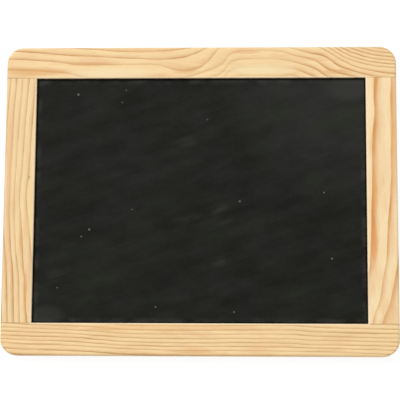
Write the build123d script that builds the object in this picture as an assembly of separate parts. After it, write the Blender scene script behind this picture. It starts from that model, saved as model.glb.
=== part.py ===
"""Slate writing board: a sheet of natural slate held in a grooved pine frame.

The frame is two long rails and two shorter stiles. Each stile ends in a tenon that fills an open slot in the
rail, so the corner is a slot-and-tenon joint, glued. The slate stands in a groove that runs round the inside
of the frame, so both of its faces can be written on. The outer corners are rounded and the edges eased after
the frame is glued up, so rail, stile and tenon share one outline.

The board lies on its back with the writing face up: X runs along the rails, Y along the stiles, Z up. The
origin is at the middle of the back face. Lengths are in millimetres.
"""

import os

from build123d import *

# Whole board
BOARD_WIDTH = 240.0
BOARD_HEIGHT = 190.0
FRAME_THICKNESS = 9.0
CORNER_RADIUS = 10.0

# Frame members, as seen from the front
RAIL_WIDTH = 19.5
STILE_WIDTH = 18.7

# Eased edges: round the outside of the frame, and round the opening
OUTER_EDGE_RADIUS = 1.5
OPENING_EDGE_RADIUS = 0.8

# Slate sheet and the groove that holds it
SLATE_THICKNESS = 3.5
SLATE_EDGE_BEVEL = 0.6
SLATE_PLAY = 0.2
GROOVE_DEPTH = 5.0
SLATE_EDGE_GAP = 0.5

# Slot-and-tenon corners: the glue line is the gap on each glued face of the tenon
TENON_THICKNESS = 3.5
GLUE_LINE = 0.05

# Sizes that follow from the ones above
OPENING_WIDTH = BOARD_WIDTH - 2 * STILE_WIDTH
OPENING_HEIGHT = BOARD_HEIGHT - 2 * RAIL_WIDTH
GROOVE_WIDTH = SLATE_THICKNESS + SLATE_PLAY
SLATE_BITE = GROOVE_DEPTH - SLATE_EDGE_GAP
SLATE_WIDTH = OPENING_WIDTH + 2 * SLATE_BITE
SLATE_HEIGHT = OPENING_HEIGHT + 2 * SLATE_BITE
SLOT_WIDTH = TENON_THICKNESS + 2 * GLUE_LINE
TENON_WIDTH = STILE_WIDTH - GROOVE_DEPTH
MID_PLANE = FRAME_THICKNESS / 2


def block(x_range, y_range, z_range):
    """Rectangular block between two X, two Y and two Z values."""
    (x0, x1), (y0, y1), (z0, z1) = x_range, y_range, z_range
    return Pos((x0 + x1) / 2, (y0 + y1) / 2, (z0 + z1) / 2) * Box(x1 - x0, y1 - y0, z1 - z0)


def about_mid_plane(thickness):
    """Z range of a layer of this thickness in the middle of the frame's thickness."""
    return MID_PLANE - thickness / 2, MID_PLANE + thickness / 2


def broad_faces(solid):
    """Back and front face of a flat solid."""
    by_height = solid.faces().sort_by(Axis.Z)
    return by_height[0], by_height[-1]


def outline_prism():
    """Everything inside the board's rounded outline, through the whole thickness."""
    return extrude(RectangleRounded(BOARD_WIDTH, BOARD_HEIGHT, CORNER_RADIUS), FRAME_THICKNESS)


def eased_frame():
    """The glued-up frame as one ring, with its edges eased, before it is parted into members."""
    ring = outline_prism() - extrude(Rectangle(OPENING_WIDTH, OPENING_HEIGHT), FRAME_THICKNESS)
    opening_edges = [edge for face in broad_faces(ring) for edge in face.inner_wires()[0].edges()]
    ring = fillet(opening_edges, OPENING_EDGE_RADIUS)
    outer_edges = [edge for face in broad_faces(ring) for edge in face.outer_wire().edges()]
    return fillet(outer_edges, OUTER_EDGE_RADIUS)


def groove():
    """Space of the groove: the opening's outline grown by the groove's depth, one groove width thick."""
    x_reach = OPENING_WIDTH / 2 + GROOVE_DEPTH
    y_reach = OPENING_HEIGHT / 2 + GROOVE_DEPTH
    return block((-x_reach, x_reach), (-y_reach, y_reach), about_mid_plane(GROOVE_WIDTH))


def corner_slot(side):
    """Open slot through the top rail at its left (-1) or right (+1) end, with room for the glue."""
    outer_x = side * BOARD_WIDTH / 2
    inner_x = side * (BOARD_WIDTH / 2 - TENON_WIDTH - GLUE_LINE)
    x_range = sorted((outer_x, inner_x))
    return block(x_range, (OPENING_HEIGHT / 2, BOARD_HEIGHT / 2), about_mid_plane(SLOT_WIDTH))


def make_top_rail(frame):
    """Rail along the top: the frame above the opening, less the groove and a slot at each end."""
    x_range = (-BOARD_WIDTH / 2, BOARD_WIDTH / 2)
    region = block(x_range, (OPENING_HEIGHT / 2, BOARD_HEIGHT / 2), (0, FRAME_THICKNESS))
    return (frame & region) - groove() - corner_slot(-1) - corner_slot(+1)


def make_left_stile(frame):
    """Stile at the left: the frame beside the opening, less the groove, with a through tenon at each end."""
    x_outer = -BOARD_WIDTH / 2
    y_range = (-OPENING_HEIGHT / 2, OPENING_HEIGHT / 2)
    region = block((x_outer, -OPENING_WIDTH / 2), y_range, (0, FRAME_THICKNESS))
    shouldered = (frame & region) - groove()
    tenon_x_range = (x_outer, x_outer + TENON_WIDTH)
    tenon_y_range = (-BOARD_HEIGHT / 2, BOARD_HEIGHT / 2)
    tenons = outline_prism() & block(tenon_x_range, tenon_y_range, about_mid_plane(TENON_THICKNESS))
    return shouldered + tenons


def make_slate_panel():
    """Slate sheet with bevelled edges, lying on the back wall of the groove."""
    back, _ = about_mid_plane(GROOVE_WIDTH)
    sheet = extrude(Rectangle(SLATE_WIDTH, SLATE_HEIGHT), SLATE_THICKNESS)
    rim = [edge for face in broad_faces(sheet) for edge in face.edges()]
    return Pos(0, 0, back) * chamfer(rim, SLATE_EDGE_BEVEL)


def make_members():
    """All five pieces by name. Each bottom or right member is the opposite one turned half round."""
    frame = eased_frame()
    top_rail = make_top_rail(frame)
    left_stile = make_left_stile(frame)
    half_turn = Rot(0, 0, 180)
    return {
        "top_rail": top_rail,
        "bottom_rail": half_turn * top_rail,
        "left_stile": left_stile,
        "right_stile": half_turn * left_stile,
        "slate_panel": make_slate_panel(),
    }


os.makedirs("parts", exist_ok=True)
for name, solid in make_members().items():
    export_step(solid, f"parts/{name}.step")
    print(f"{name}: {len(solid.solids())} solid, {solid.volume:.0f} mm3")
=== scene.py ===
import math

import bpy
import numpy as np
from mathutils import Matrix, Vector


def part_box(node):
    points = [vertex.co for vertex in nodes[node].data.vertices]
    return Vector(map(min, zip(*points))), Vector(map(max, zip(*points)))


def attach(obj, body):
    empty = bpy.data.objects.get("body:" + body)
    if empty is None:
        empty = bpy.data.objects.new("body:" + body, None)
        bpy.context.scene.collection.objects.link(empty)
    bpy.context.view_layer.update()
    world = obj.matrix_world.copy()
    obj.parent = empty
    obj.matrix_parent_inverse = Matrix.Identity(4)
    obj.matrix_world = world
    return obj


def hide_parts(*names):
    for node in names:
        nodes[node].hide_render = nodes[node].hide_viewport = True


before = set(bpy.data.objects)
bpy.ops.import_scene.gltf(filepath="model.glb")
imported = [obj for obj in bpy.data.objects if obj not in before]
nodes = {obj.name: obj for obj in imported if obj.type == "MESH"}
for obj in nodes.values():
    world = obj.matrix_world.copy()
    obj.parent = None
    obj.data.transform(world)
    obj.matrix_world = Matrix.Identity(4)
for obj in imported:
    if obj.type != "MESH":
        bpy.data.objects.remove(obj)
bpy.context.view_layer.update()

# Top rail: the first piece on the bench, a planed strip of flat-sawn pine, grooved along its inner edge and
# slotted at each end for a stile's tenon. Its figure is broad on the left, swirls up past a hidden knot right
# of the middle, arches over a pale core and runs down to fine, straight rings at the right end.

MM = 0.001


class Measure:
    """A number worked out at each point of a surface. Each sum of measures adds one Math node."""

    def __init__(self, socket):
        self.socket = socket
        self.tree = socket.id_data

    def work(self, operation, *terms):
        """One Math node that does the named operation on the terms, which are measures or plain numbers."""
        node = self.tree.nodes.new("ShaderNodeMath")
        node.operation = operation
        for slot, term in zip(node.inputs, terms):
            feed(slot, term)
        return Measure(node.outputs[0])

    def __add__(self, other):
        return self.work("ADD", self, other)

    def __sub__(self, other):
        return self.work("SUBTRACT", self, other)

    def __rsub__(self, other):
        return self.work("SUBTRACT", other, self)

    def __mul__(self, other):
        return self.work("MULTIPLY", self, other)

    def __truediv__(self, other):
        return self.work("DIVIDE", self, other)

    __radd__ = __add__

    def size(self):
        """The number without its sign."""
        return self.work("ABSOLUTE", self)

    def root(self):
        """Square root, or nothing below nought."""
        return self.work("SQRT", self.work("MAXIMUM", self, 0.0))

    def whole(self):
        """The whole part, rounded down."""
        return self.work("FLOOR", self)

    def part(self):
        """What is left over the whole part."""
        return self.work("FRACT", self)

    def least(self, other):
        """The smaller of two numbers."""
        return self.work("MINIMUM", self, other)

    def most(self, other):
        """The larger of two numbers."""
        return self.work("MAXIMUM", self, other)

    def step(self, start, end):
        """A smooth step, from 0 at start to 1 at end. Where end is the lower number, the step falls."""
        node = self.tree.nodes.new("ShaderNodeMapRange")
        node.interpolation_type = "SMOOTHSTEP"
        low, high = min(start, end), max(start, end)
        feed(node.inputs["Value"], self)
        node.inputs["From Min"].default_value = low
        node.inputs["From Max"].default_value = high
        node.inputs["To Min"].default_value = 0.0 if start < end else 1.0
        node.inputs["To Max"].default_value = 1.0 if start < end else 0.0
        return Measure(node.outputs["Result"])

    def along(self, points):
        """A smooth curve drawn through given (number, value) points, read at this number."""
        numbers, values = np.transpose(points)
        node = self.tree.nodes.new("ShaderNodeFloatCurve")
        curve = node.mapping.curves[0]
        low, high = values.min() - 1.0, values.max() + 1.0
        shares = (numbers - numbers[0]) / (numbers[-1] - numbers[0])
        levels = (values - low) / (high - low)
        curve.points[0].location = (shares[0], levels[0])
        curve.points[1].location = (shares[-1], levels[-1])
        for share, level in zip(shares[1:-1], levels[1:-1]):
            curve.points.new(share, level)
        node.mapping.update()
        feed(node.inputs["Value"], (self - float(numbers[0])) / float(numbers[-1] - numbers[0]))
        return Measure(node.outputs[0]) * float(high - low) + float(low)


def feed(slot, term):
    """Gives a node's socket a measure to read, or a plain value to hold."""
    if isinstance(term, Measure):
        slot.id_data.links.new(term.socket, slot)
    else:
        slot.default_value = term


def new_finish(name):
    """An empty material with its shader, and the place of each point as x, y and z in millimetres."""
    material = bpy.data.materials.new(name)
    material.use_nodes = True
    tree = material.node_tree
    shader = tree.nodes["Principled BSDF"]
    place = tree.nodes.new("ShaderNodeTexCoord")
    scale = tree.nodes.new("ShaderNodeVectorMath")
    scale.operation = "SCALE"
    scale.inputs["Scale"].default_value = 1 / MM
    tree.links.new(place.outputs["Object"], scale.inputs[0])
    split = tree.nodes.new("ShaderNodeSeparateXYZ")
    tree.links.new(scale.outputs[0], split.inputs[0])
    return material, shader, [Measure(axis) for axis in split.outputs]


def cloud(x, y, z, detail=2.0, roughness=0.5):
    """Soft three-way noise, 0 to 1, one lump per unit of x, y and z."""
    tree = next(axis for axis in (x, y, z) if isinstance(axis, Measure)).tree
    place = tree.nodes.new("ShaderNodeCombineXYZ")
    for slot, axis in zip(place.inputs, (x, y, z)):
        feed(slot, axis)
    node = tree.nodes.new("ShaderNodeTexNoise")
    node.inputs["Scale"].default_value = 1.0
    node.inputs["Detail"].default_value = detail
    node.inputs["Roughness"].default_value = roughness
    tree.links.new(place.outputs[0], node.inputs["Vector"])
    return Measure(node.outputs["Fac"])


def chance(number, seed):
    """A random number from 0 to 1 that stays the same for the same number and seed."""
    node = number.tree.nodes.new("ShaderNodeTexWhiteNoise")
    node.noise_dimensions = "2D"
    place = number.tree.nodes.new("ShaderNodeCombineXYZ")
    feed(place.inputs[0], number)
    place.inputs[1].default_value = seed
    number.tree.links.new(place.outputs[0], node.inputs["Vector"])
    return Measure(node.outputs["Value"])


def linear(red, green, blue):
    """Screen colour, 0 to 255, as the linear colour that a shader takes."""
    share = np.array([red, green, blue]) / 255
    light = np.where(share <= 0.04045, share / 12.92, ((share + 0.055) / 1.055) ** 2.4)
    return (*light.tolist(), 1.0)


def tint(below, above, amount):
    """Colour that goes from one to the other as the amount goes from 0 to 1."""
    node = amount.tree.nodes.new("ShaderNodeMix")
    node.data_type = "RGBA"
    feed(node.inputs["Factor"], amount)
    for slot, colour in zip((node.inputs[6], node.inputs[7]), (below, above)):
        feed(slot, colour)
    return Measure(node.outputs[2])


def relief(shader, height, depth):
    """Bump of the shader from a height of 0 to 1, as deep as given in millimetres."""
    node = height.tree.nodes.new("ShaderNodeBump")
    node.inputs["Strength"].default_value = 1.0
    node.inputs["Distance"].default_value = depth * MM
    feed(node.inputs["Height"], height)
    height.tree.links.new(node.outputs["Normal"], shader.inputs["Normal"])


FACE_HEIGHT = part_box("top_rail")[1].z / MM
OPENING_HALF_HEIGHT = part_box("top_rail")[0].y / MM
OPENING_HALF_WIDTH = -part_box("left_stile")[1].x / MM


def oval(x, y, middle_x, middle_y, half_x, half_y):
    """Soft oval spot: 1 in the middle, 0 outside."""
    right, up = (x - middle_x) / half_x, (y - middle_y) / half_y
    return (right * right + up * up).step(1.3, 0.1)


WARM_PINE = (236, 184, 132)
RESIN = (176, 118, 62)
CUT_ENDS = (196, 140, 84)
GLUE_SEAM = (120, 84, 48)
PAINTED_ARRIS_HIGHLIGHT = (255, 238, 205)
SHADED_LIP = (40, 28, 16)
SLOW_WANDER = 0.7
SMALL_WANDER = 0.5


def ring_years(lengthwise, across, z, rings, widths_above, widths_below, pith, seed):
    """Year of each point of a member, and its place across the front face, followed out along its ring.

    Behind the face each ring is an arc about the pith, so a point is first carried along its arc to the
    face. Its year is then its share of the way from one drawn ring to the next, or its distance beyond the
    first or last one, counted in ring widths. The rings wander a little, slowly and in small waves.
    """
    pith_across, pith_height = pith
    numbers = [number for number, path in rings]
    paths = [lengthwise.along(path) for number, path in rings]
    side = 1.0 if rings[0][1][0][1] > pith_across else -1.0
    depth = z - pith_height
    spread = across - pith_across
    face_depth = FACE_HEIGHT - pith_height
    on_face = (spread * spread + depth * depth - face_depth ** 2).root() * side + pith_across
    slow_wander = cloud(lengthwise / 24, across / 6, z / 9 + seed) - 0.5
    small_wander = cloud(lengthwise / 6, across / 2.2, z / 3 + seed + 5) - 0.5
    reach = on_face + slow_wander * SLOW_WANDER + small_wander * SMALL_WANDER
    years = ((reach - paths[0]) / lengthwise.along(widths_below)).least(0.0) + numbers[0]
    for lower, upper, years_between in zip(paths, paths[1:], np.diff(numbers).tolist()):
        years = years + ((reach - lower) / (upper - lower)).most(0.0).least(1.0) * years_between
    years = years + ((reach - paths[-1]) / lengthwise.along(widths_above)).most(0.0)
    return years, on_face + small_wander


def edge_marks(colour, x, y, z):
    """Lays the joint hairlines, then round the opening a pale painted highlight on the rounded edge and
    painted shade down the lip, over the wood's colour.
    """
    beside_opening = x.size().step(OPENING_HALF_WIDTH - 0.2, OPENING_HALF_WIDTH + 0.2)
    seam = (y.size() - OPENING_HALF_HEIGHT).size().step(0.28, 0.05) * beside_opening
    colour = tint(colour, linear(*GLUE_SEAM), seam * 0.4)
    inner_reach = (x.size() - OPENING_HALF_WIDTH).most(y.size() - OPENING_HALF_HEIGHT)
    from_face = FACE_HEIGHT / 2 - (z - FACE_HEIGHT / 2).size()
    # Painted highlight: the rounded edge round the opening is made paler near the face, as where it catches
    # the light.
    painted_arris_highlight = inner_reach.step(1.4, 0.4) * from_face.step(1.0, 0.5)
    colour = tint(colour, linear(*PAINTED_ARRIS_HIGHLIGHT), painted_arris_highlight * 0.55)
    # Painted shade: the lip wall darkens as it goes down towards the slate.
    lip = inner_reach.step(0.5, 0.1) * z.step(FACE_HEIGHT - 0.8, FACE_HEIGHT - 1.6)
    return tint(colour, linear(*SHADED_LIP), lip * 0.9)


def pine(
    name, length_axis, rings, widths_above, widths_below, shown, streaks, pith, growth, pale, dark, seed
):
    """Planed pine, worked out as a solid so that face, edge and end grain agree.

    A few numbered rings are drawn along the front face. Within a year, in the direction of growth,
    pale early wood darkens into late wood and stops short. The rings are shown more or less strongly along
    the member, and streaks of other colour are laid over them.
    """
    material, shader, (x, y, z) = new_finish(name)
    lengthwise, across = (x, y) if length_axis == "X" else (y, x)
    years, face_place = ring_years(lengthwise, across, z, rings, widths_above, widths_below, pith, seed)
    ring = years.whole()
    season = years.part() if growth > 0 else 1.0 - years.part()
    late_wood = (season.step(0.3, 0.95) * 0.55 + season.step(0.68, 0.93) * 0.45) * season.step(1.0, 0.93)
    fade = cloud(lengthwise / 26, ring * 3.7 + seed, seed)
    strength = (chance(ring, seed) * 0.35 + fade * 1.3 + 0.1) * lengthwise.along(shown)
    fibre = cloud(lengthwise / 9, across * 2.4, z * 2.4, 3.0, 0.6)
    hair = cloud(lengthwise / 4, across * 7, z * 7, 1.0)
    blotch = cloud(lengthwise / 26, across / 5, z / 8 + seed + 11)
    band = late_wood * strength + (fibre - 0.5) * 0.45 + (hair - 0.5) * 0.25 + (blotch - 0.5) * 0.5 + 0.07
    colour = tint(linear(*pale), linear(*dark), band.most(0.0).least(1.0))
    warmth = cloud(lengthwise / 17, across / 3, z / 6 + seed + 23)
    colour = tint(colour, linear(*WARM_PINE), warmth.step(0.48, 0.75) * 0.4)
    for middle, height, half_length, half_width, shade, amount in streaks:
        streak = oval(lengthwise, face_place, middle, height, half_length, half_width)
        colour = tint(colour, linear(*shade), streak * (fibre + 0.5) * amount)
    resin = cloud(lengthwise / 2.2, across * 4.0, z * 4.0 + seed, 0.0).step(0.74, 0.82)
    colour = tint(colour, linear(*RESIN), resin * 0.3)

    normal = material.node_tree.nodes.new("ShaderNodeTexCoord")
    facing = material.node_tree.nodes.new("ShaderNodeSeparateXYZ")
    material.node_tree.links.new(normal.outputs["Normal"], facing.inputs[0])
    end_grain = Measure(facing.outputs[length_axis]).size().step(0.75, 0.95)
    colour = tint(colour, linear(*CUT_ENDS), end_grain * 0.45)
    feed(shader.inputs["Base Color"], edge_marks(colour, x, y, z))
    feed(shader.inputs["Roughness"], 0.56 - late_wood * strength * 0.1 + (fibre - 0.5) * 0.2)
    shader.inputs["Specular IOR Level"].default_value = 0.3
    relief(shader, late_wood * strength * 0.5 + fibre * 0.35 + hair * 0.2, 0.05)
    return material


def dress(node_name, material):
    """Gives a CAD node's object the material in each of its slots."""
    for slot in nodes[node_name].material_slots:
        slot.material = material


top_rail_pine = pine(
    name="top_rail_pine",
    length_axis="X",
    rings=[
        (0, [
            (-120, 80.5), (-100, 79.5), (-85, 78.4), (-75, 76.2), (-65, 74.6), (-45, 74.0), (-25, 74.4),
            (-15, 75.0), (-8, 76.0), (0, 78.2), (6, 80.0), (12, 82.4), (15, 85.0), (17, 88.4),
            (21, 90.8), (26, 91.9), (35, 92.2), (45, 92.0), (50, 91.4), (55, 90.0), (60, 88.5),
            (66, 87.2), (70, 85.9), (73, 84.0), (76, 81.6), (79, 79.7), (84, 78.2), (92, 76.2),
            (105, 73.2), (120, 70.5),
        ]),
        (1, [
            (-120, 87.2), (-110, 87.0), (-100, 86.3), (-87, 85.2), (-78, 83.9), (-60, 83.6),
            (-48, 83.5), (-35, 83.8), (-27, 83.4), (-21, 81.5), (-15, 79.9), (-8, 79.3), (-3, 80.2),
            (1, 82.2), (4, 84.7), (7, 88.0), (9.5, 91.5), (12, 94.4), (16, 96.6), (22, 97.4),
            (35, 97.0), (45, 96.2), (52, 95.0), (57, 93.5), (62, 91.8), (68, 90.3), (73, 89.4),
            (77, 88.0), (80, 86.0), (82, 84.2), (85, 82.2), (90, 80.3), (95, 78.8), (100, 77.3),
            (110, 75.2), (120, 74.0),
        ]),
        (2, [
            (-120, 92.4), (-105, 91.6), (-85, 89.8), (-60, 88.6), (-40, 87.4), (-22, 87.0), (-12, 88.0),
            (-5, 89.9), (5, 95.0), (10, 98.0), (20, 101.0), (45, 100.0), (60, 97.0), (70, 95.4),
            (74, 94.0), (77, 92.0), (81, 89.7), (84.6, 87.4), (88.5, 85.1), (96, 81.6), (110, 78.4),
            (120, 77.2),
        ]),
        (3, [
            (-120, 97.5), (-95, 95.3), (-75, 93.9), (-60, 92.7), (-50, 92.0), (-35, 91.6), (-25, 92.0),
            (-10, 93.6), (0, 96.4), (10, 101.0), (25, 104.5), (45, 103.5), (60, 100.0), (72, 97.2),
            (77.7, 94.6), (81.5, 92.2), (85.4, 89.7), (90, 87.2), (96, 85.0), (102, 83.4), (108, 82.3),
            (120, 81.2),
        ]),
    ],
    widths_above=[(-120, 5.0), (0, 5.0), (60, 4.0), (76, 2.9), (90, 2.5), (120, 2.2)],
    widths_below=[
        (-120, 6.0), (-10, 4.5), (15, 5.0), (49, 5.2), (58, 4.3), (71, 5.2), (80, 4.0), (120, 2.5),
    ],
    shown=[
        (-120, 0.9), (-80, 0.8), (-45, 0.75), (-10, 0.7), (8, 0.55), (22, 0.4), (45, 0.45), (58, 0.65),
        (74, 1), (120, 0.9),
    ],
    streaks=[
        (-103, 79.4, 22, 3.0, (224, 168, 102), 0.6),
        (-68, 84.4, 14, 1.5, (219, 166, 108), 0.5),
        (-55, 78.6, 30, 3.4, (249, 227, 181), 0.7),
        (-9, 79.4, 9, 1.7, (224, 172, 104), 0.45),
        (28, 91.9, 10, 1.5, (226, 168, 116), 0.5),
        (38, 80.6, 22, 3.6, (247, 228, 179), 0.6),
        (84, 79.2, 10, 1.7, (222, 164, 106), 0.5),
    ],
    pith=(118.0, 1.0),
    growth=-1,
    pale=(250, 219, 166),
    dark=(204, 148, 88),
    seed=3.0,
)
dress("top_rail", top_rail_pine)

# Stiles: the two short uprights, in pine from other boards, each glued by its tenons into the rails' slots.
# The left one is rift sawn, with even lines that bow a little. The right one is flat sawn, with broad amber
# bands that sweep in towards the slate at its lower end.

left_stile_pine = pine(
    name="left_stile_pine",
    length_axis="Y",
    rings=[
        (0, [
            (-95, -111.0), (-65, -112.0), (-45, -112.9), (-35, -114.0), (-25, -115.0), (-5, -116.0),
            (15, -116.0), (30, -115.4), (55, -114.5), (75, -113.3), (95, -112.6),
        ]),
        (1, [
            (-95, -107.4), (-75, -108.0), (-60, -108.8), (-50, -109.2), (-40, -110.3), (-30, -111.4),
            (-20, -112.2), (0, -113.2), (20, -112.5), (45, -111.4), (65, -110.1), (95, -109.0),
        ]),
        (2, [
            (-95, -102.2), (-75, -103.5), (-65, -104.5), (-50, -105.4), (-40, -106.7), (-30, -107.3),
            (-20, -108.0), (-10, -109.0), (0, -109.8), (5, -109.7), (15, -109.0), (25, -108.4),
            (45, -107.6), (60, -106.4), (75, -105.5), (95, -104.8),
        ]),
        (3, [
            (-95, -98.0), (-50, -100.3), (-28, -102.4), (-20, -103.4), (-12, -104.3), (-5, -105.2),
            (2, -105.6), (8, -105.4), (14, -104.4), (30, -103.8), (45, -103.2), (56, -102.6),
            (95, -100.5),
        ]),
    ],
    widths_above=[(-95, 4.2), (95, 4.3)],
    widths_below=[(-95, 3.7), (95, 3.8)],
    shown=[(-95, 0.8), (-50, 0.9), (-10, 0.7), (20, 0.6), (55, 0.75), (95, 0.8)],
    streaks=[
        (-56, -105.4, 13, 1.2, (220, 158, 96), 0.6),
        (-27, -108.8, 9, 1.3, (226, 170, 112), 0.5),
        (-2, -103.2, 24, 1.9, (246, 219, 158), 0.6),
        (15, -117.0, 60, 2.2, (236, 188, 140), 0.5),
        (13.4, -104.6, 1.3, 0.7, (128, 108, 62), 0.45),
    ],
    pith=(-152.0, -20.0),
    growth=1,
    pale=(248, 217, 166),
    dark=(198, 147, 91),
    seed=17.0,
)
dress("left_stile", left_stile_pine)

right_stile_pine = pine(
    name="right_stile_pine",
    length_axis="Y",
    rings=[
        (0, [
            (-95, 95.0), (-60, 99.0), (-50, 100.2), (-45, 101.0), (-40, 102.2), (-30, 102.9),
            (-20, 103.2), (0, 103.8), (10, 104.2), (30, 104.2), (40, 104.8), (48, 105.6), (55, 106.1),
            (62, 105.7), (70, 105.9), (80, 106.5), (95, 106.8),
        ]),
        (1, [
            (-95, 97.6), (-75, 103.4), (-70, 104.7), (-65, 106.7), (-60, 108.2), (-50, 109.7),
            (-45, 110.5), (-38, 112.0), (-30, 112.7), (-20, 113.1), (-10, 113.7), (0, 114.8),
            (10, 115.5), (30, 115.7), (45, 116.3), (60, 116.0), (75, 116.3), (95, 117.0),
        ]),
        (2, [
            (-95, 103.5), (-77, 108.4), (-71, 110.2), (-65, 113.0), (-58, 115.0), (-50, 116.6),
            (-40, 118.6), (-33, 119.5), (-15, 121.5), (0, 122.8), (30, 123.5), (95, 125.0),
        ]),
    ],
    widths_above=[(-95, 13.0), (95, 13.0)],
    widths_below=[(-95, 7.5), (95, 9.0)],
    shown=[(-95, 0.8), (-60, 0.8), (-40, 0.9), (-25, 1.1), (5, 1), (30, 0.8), (50, 0.8), (75, 1), (95, 1)],
    streaks=[
        (-27, 105.4, 13, 2.4, (227, 158, 92), 0.65),
        (2, 106.2, 14, 1.6, (228, 164, 98), 0.5),
        (76, 106.9, 10, 1.6, (224, 158, 94), 0.45),
        (40, 117.6, 42, 1.9, (235, 180, 116), 0.5),
        (-70, 116.6, 10, 3.2, (237, 190, 138), 0.5),
    ],
    pith=(160.0, -6.0),
    growth=-1,
    pale=(252, 226, 178),
    dark=(217, 150, 84),
    seed=29.0,
)
dress("right_stile", right_stile_pine)

# Slate panel: a thin sheet of natural slate, split, ground flat and sawn to size, with its edges nipped to a
# rough bevel. It slides down the stiles' grooves and stands loose there, so that both faces can be used.
# Wiped chalk has left it faintly smeared, with dust where the cloth doesn't reach along the frame.

SLATE_LOW, SLATE_HIGH = (np.array(corner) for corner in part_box("slate_panel"))
SLATE_PITCH = 1.1 * MM
EDGE_BEVEL = 0.6 * MM
FACE_WAVE = 0.03 * MM


def gentle_waves(x, y, count, longest, seed):
    """Sum of sine waves of random direction and length, each as high as it is long, scaled to -1 to 1."""
    draw = np.random.default_rng(seed)
    total = np.zeros_like(x)
    for length in longest * draw.uniform(0.15, 1.0, count):
        turn, start = draw.uniform(0, 2 * np.pi, 2)
        total += length * np.sin(2 * np.pi * (x * np.cos(turn) + y * np.sin(turn)) / length + start)
    return total / np.abs(total).max()


def slate_sheet():
    """Closed sheet on one grid that runs over the front, round the rim and over the back.

    In each direction the grid is evenly spaced, with a last row and column on the bevel. Front and back
    heights are the sheet's faces, waved a little, less the bevel at the rim. The two grids are sewn
    together along the rim.
    """
    def stations(low, high):
        inner = np.linspace(low + EDGE_BEVEL, high - EDGE_BEVEL, round((high - low) / SLATE_PITCH))
        return np.concatenate([[low], inner, [high]])

    columns, rows = (stations(SLATE_LOW[axis], SLATE_HIGH[axis]) for axis in (0, 1))
    x, y = np.meshgrid(columns, rows, indexing="ij")
    at_rim = np.zeros(x.shape, bool)
    at_rim[[0, -1], :] = True
    at_rim[:, [0, -1]] = True
    bevel = EDGE_BEVEL * at_rim
    front = SLATE_HIGH[2] - bevel - FACE_WAVE * (1 + gentle_waves(x, y, 30, 0.06, 5)) * ~at_rim
    back = SLATE_LOW[2] + bevel + FACE_WAVE * (1 + gentle_waves(x, y, 30, 0.06, 6)) * ~at_rim
    points = np.concatenate([np.stack([x, y, z], -1).reshape(-1, 3) for z in (front, back)])
    number = np.arange(x.size).reshape(x.shape)
    a, b, c, d = number[:-1, :-1], number[1:, :-1], number[1:, 1:], number[:-1, 1:]
    front_faces = np.stack([a, b, c, d], -1).reshape(-1, 4)
    back_faces = front_faces[:, ::-1] + x.size
    rim = np.concatenate([number[:, 0], number[-1, 1:], number[-2::-1, -1], number[0, -2:0:-1]])
    after = np.roll(rim, -1)
    rim_faces = np.stack([rim, rim + x.size, after + x.size, after], -1)
    return points, np.concatenate([front_faces, back_faces, rim_faces])


def new_piece(name, points, faces):
    """Mesh object at the origin from an array of points and an array of four-cornered faces."""
    mesh = bpy.data.meshes.new(name)
    mesh.vertices.add(len(points))
    mesh.vertices.foreach_set("co", points.ravel())
    mesh.loops.add(faces.size)
    mesh.loops.foreach_set("vertex_index", faces.ravel())
    mesh.polygons.add(len(faces))
    mesh.polygons.foreach_set("loop_start", np.arange(0, faces.size, 4))
    mesh.update(calc_edges=True)
    mesh.validate()
    piece = bpy.data.objects.new(name, mesh)
    bpy.context.scene.collection.objects.link(piece)
    return piece


DARK_STONE = (16, 17, 12)
GREY_STONE = (46, 46, 45)
GREEN_STONE = (44, 47, 38)
CHALK_SMEAR = (86, 87, 82)
CHALK_DUST = (84, 85, 80)
CHALK_SPECK = (150, 150, 144)
SHADED_RIM = (16, 12, 6)


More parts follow.
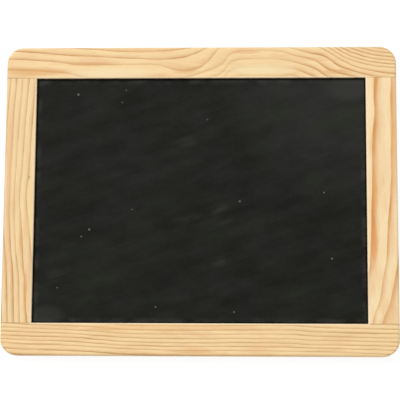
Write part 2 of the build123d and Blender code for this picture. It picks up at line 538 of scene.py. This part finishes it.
def slate_finish():
    """Ground slate: dark grey-green stone, mottled, with a painted sheen towards the top-right corner, wiped
    chalk, a dusty rim and a few light specks.
    """
    material, shader, (x, y, z) = new_finish("ground_slate")
    stone = cloud(x / 20, y / 14, z / 5, 4.0, 0.6)
    grain = cloud(x / 1.3, y / 1.3, z, 3.0, 0.7)
    wipe = cloud((x + y * 0.45) / 50, (y - x * 0.35) / 8, 3.0, 5.0, 0.62)
    # Painted sheen: the stone is made lighter towards the top-right corner.
    painted_sheen_corner = oval(x, y, 95, 75, 80, 75)
    level = (stone - 0.5) * 0.9 + (grain - 0.5) * 0.5 + (wipe - 0.5) * 0.9 + painted_sheen_corner * 0.38 + 0.235
    greener = cloud(x / 24, y / 24, z / 9 + 31)
    pale_stone = tint(linear(*GREY_STONE), linear(*GREEN_STONE), greener.step(0.38, 0.6))
    colour = tint(linear(*DARK_STONE), pale_stone, level.most(0.0).least(1.0))

    smears = [
        (12, -6, 6, 5, 0.25), (75, 28, 6, 6, 0.3), (-87, -47, 8, 4, 0.2), (11, -38, 5, 4, 0.15),
        (-10, 37, 9, 5, 0.15), (-2, -13, 24, 4, 0.12),
    ]
    for middle_x, middle_y, half_x, half_y, amount in smears:
        smear = oval(x, y, middle_x, middle_y, half_x, half_y) * wipe.step(0.4, 0.7)
        colour = tint(colour, linear(*CHALK_SMEAR), smear * amount)

    edge_reach = (OPENING_HALF_WIDTH - x.size()).least(OPENING_HALF_HEIGHT - y.size())
    patchy = cloud(x / 12, y / 9, 7.0, 3.0, 0.6).step(0.36, 0.68)
    corner_dust = oval(x, y, -93, -71, 12, 7) + oval(x, y, -99, 74, 5, 3) + oval(x, y, 92, 70, 18, 9)
    rim_dust = (edge_reach.step(4.5, 1.0) * patchy + corner_dust * 0.6).least(1.0)
    colour = tint(colour, linear(*CHALK_DUST), rim_dust * 0.32)

    specks = [
        (-75.7, 65.8, 0.7), (-67.5, -18.4, 0.7), (-72.3, -22.7, 0.5), (-86.4, -54.0, 0.4), (24.3, -1.0, 0.6),
        (-26.5, -65.5, 0.5), (21.0, -68.5, 0.5), (80.0, -36.0, 0.6), (75.5, 4.4, 0.5), (-41.4, -6.0, 0.4),
        (4.3, 49.8, 0.4), (-48.3, 60.7, 0.4), (-46.0, 68.5, 0.4),
    ]
    for speck_x, speck_y, speck_size in specks:
        speck = oval(x, y, speck_x, speck_y, speck_size, speck_size)
        colour = tint(colour, linear(*CHALK_SPECK), speck * 0.5)

    shade = edge_reach.step(1.3, 0.3)
    colour = tint(colour, linear(*SHADED_RIM), shade * 0.85)
    feed(shader.inputs["Base Color"], colour)
    feed(shader.inputs["Roughness"], 0.62 + (wipe - 0.5) * 0.2 + rim_dust * 0.1)
    feed(shader.inputs["Specular IOR Level"], 0.09 - shade * 0.06)
    relief(shader, stone * 0.5 + grain * 0.3, 0.06)
    return material


slate_panel = new_piece("writing_slate", *slate_sheet())
slate_panel.data.materials.append(slate_finish())
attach(slate_panel, "root")
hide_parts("slate_panel")

# Bottom rail: the last piece, pushed up over the slate and the stiles' tenons and glued, which closes the
# frame. It is pine with fine, straight rings that run nearly level from end to end.

bottom_rail_pine = pine(
    name="bottom_rail_pine",
    length_axis="X",
    rings=[
        (0, [
            (-120, -87.6), (-110, -88.3), (-100, -88.7), (-80, -89.3), (-70, -89.8), (-60, -90.4),
            (-50, -91.0), (-40, -91.3), (-20, -91.9), (30, -92.0), (50, -92.2), (70, -92.5),
            (90, -93.0), (120, -94.3),
        ]),
        (2, [
            (-120, -83.2), (-100, -84.0), (-80, -84.4), (-60, -85.9), (-40, -87.1), (0, -87.6),
            (30, -87.4), (50, -87.6), (70, -88.4), (90, -88.7), (120, -89.2),
        ]),
        (5, [
            (-120, -75.8), (-100, -76.9), (-80, -77.5), (-60, -78.6), (-40, -79.8), (0, -80.1),
            (30, -79.8), (50, -79.7), (70, -80.7), (90, -81.3), (120, -81.8),
        ]),
    ],
    widths_above=[(-120, 2.7), (120, 2.7)],
    widths_below=[(-120, 3.2), (120, 3.0)],
    shown=[(-120, 0.8), (-60, 0.85), (0, 0.75), (60, 0.7), (120, 0.8)],
    streaks=[
        (-15, -77.9, 65, 1.6, (243, 194, 134), 0.55),
        (-58, -79.3, 15, 0.9, (222, 166, 108), 0.5),
        (-5, -92.4, 16, 1.1, (218, 162, 100), 0.5),
        (-96, -88.4, 18, 0.8, (204, 158, 102), 0.5),
    ],
    pith=(-38.0, -14.0),
    growth=-1,
    pale=(252, 220, 166),
    dark=(196, 146, 88),
    seed=41.0,
)
dress("bottom_rail", bottom_rail_pine)

# Table: a wide, plain white top that the board lies on. It looks white to the camera and in gloss, and keeps
# the board's soft shadow.

TABLE_REACH = 40.0


def seen_directly(tree):
    """1 where the camera sees a surface, by itself or in gloss or through glass, and 0 for other light."""
    path = tree.nodes.new("ShaderNodeLightPath")
    by_camera, in_gloss, through_glass = (
        Measure(path.outputs[kind]) for kind in ("Is Camera Ray", "Is Glossy Ray", "Is Transmission Ray")
    )
    return by_camera.most(in_gloss).most(through_glass)


def table_finish():
    """White that glows a little where it is seen, and is a plain pale diffuse surface to other light."""
    material = bpy.data.materials.new("white_table")
    material.use_nodes = True
    tree = material.node_tree
    tree.nodes.clear()
    output = tree.nodes.new("ShaderNodeOutputMaterial")
    plain = tree.nodes.new("ShaderNodeBsdfDiffuse")
    plain.inputs["Color"].default_value = (0.8, 0.8, 0.8, 1.0)
    shaded = tree.nodes.new("ShaderNodeBsdfDiffuse")
    shaded.inputs["Color"].default_value = (0.15, 0.15, 0.15, 1.0)
    glow = tree.nodes.new("ShaderNodeEmission")
    glow.inputs["Strength"].default_value = 0.89
    both = tree.nodes.new("ShaderNodeAddShader")
    tree.links.new(shaded.outputs[0], both.inputs[0])
    tree.links.new(glow.outputs[0], both.inputs[1])
    mix = tree.nodes.new("ShaderNodeMixShader")
    feed(mix.inputs["Fac"], seen_directly(tree))
    tree.links.new(plain.outputs[0], mix.inputs[1])
    tree.links.new(both.outputs[0], mix.inputs[2])
    tree.links.new(mix.outputs[0], output.inputs["Surface"])
    return material


table_corners = TABLE_REACH * np.array([(-1, -1, 0), (1, -1, 0), (1, 1, 0), (-1, 1, 0)], float)
table = new_piece("table", table_corners, np.array([[0, 1, 2, 3]]))
table.data.materials.append(table_finish())

# Light: an even white room, which looks white itself, and one large soft lamp up and to the left that shades
# the edges a little.

ROOM_LEVEL = 0.6
LAMP_PLACE = Vector((-1.2, 1.4, 2.6))
LAMP_SIZE = 1.8
LAMP_POWER = 50.0

world = bpy.data.worlds.new("white_room")
world.use_nodes = True
room = world.node_tree.nodes["Background"]
feed(room.inputs["Strength"], seen_directly(world.node_tree) * (1.0 - ROOM_LEVEL) + ROOM_LEVEL)
room.inputs["Color"].default_value = (1.0, 1.0, 1.0, 1.0)
bpy.context.scene.world = world

lamp_light = bpy.data.lights.new("soft_lamp", "AREA")
lamp_light.size = LAMP_SIZE
lamp_light.energy = LAMP_POWER
lamp = bpy.data.objects.new("soft_lamp", lamp_light)
lamp.location = LAMP_PLACE
lamp.rotation_euler = (-LAMP_PLACE).to_track_quat("-Z", "Y").to_euler()
bpy.context.scene.collection.objects.link(lamp)

# Camera: nearly square above the board, about 0.9 m away, a little below and to the right of its middle.

CAMERA_PLACE = Vector((0.0356, -0.1356, 0.8802))
CAMERA_TARGET = Vector((0.0001, -0.0005, 0.008))
CAMERA_ROLL = math.radians(0.362)
CAMERA_LENS = 130.6

view = bpy.data.cameras.new("front_view")
view.lens = CAMERA_LENS
camera = bpy.data.objects.new("front_view", view)
camera.location = CAMERA_PLACE
sight = (CAMERA_TARGET - CAMERA_PLACE).normalized()
rightward = sight.cross(Vector((0, 1, 0))).normalized()
level = Matrix((rightward, rightward.cross(sight), -sight)).transposed()
camera.rotation_euler = (level @ Matrix.Rotation(CAMERA_ROLL, 3, "Z")).to_euler()
bpy.context.scene.collection.objects.link(camera)
bpy.context.scene.camera = camera
bpy.context.scene.view_settings.view_transform = "Standard"
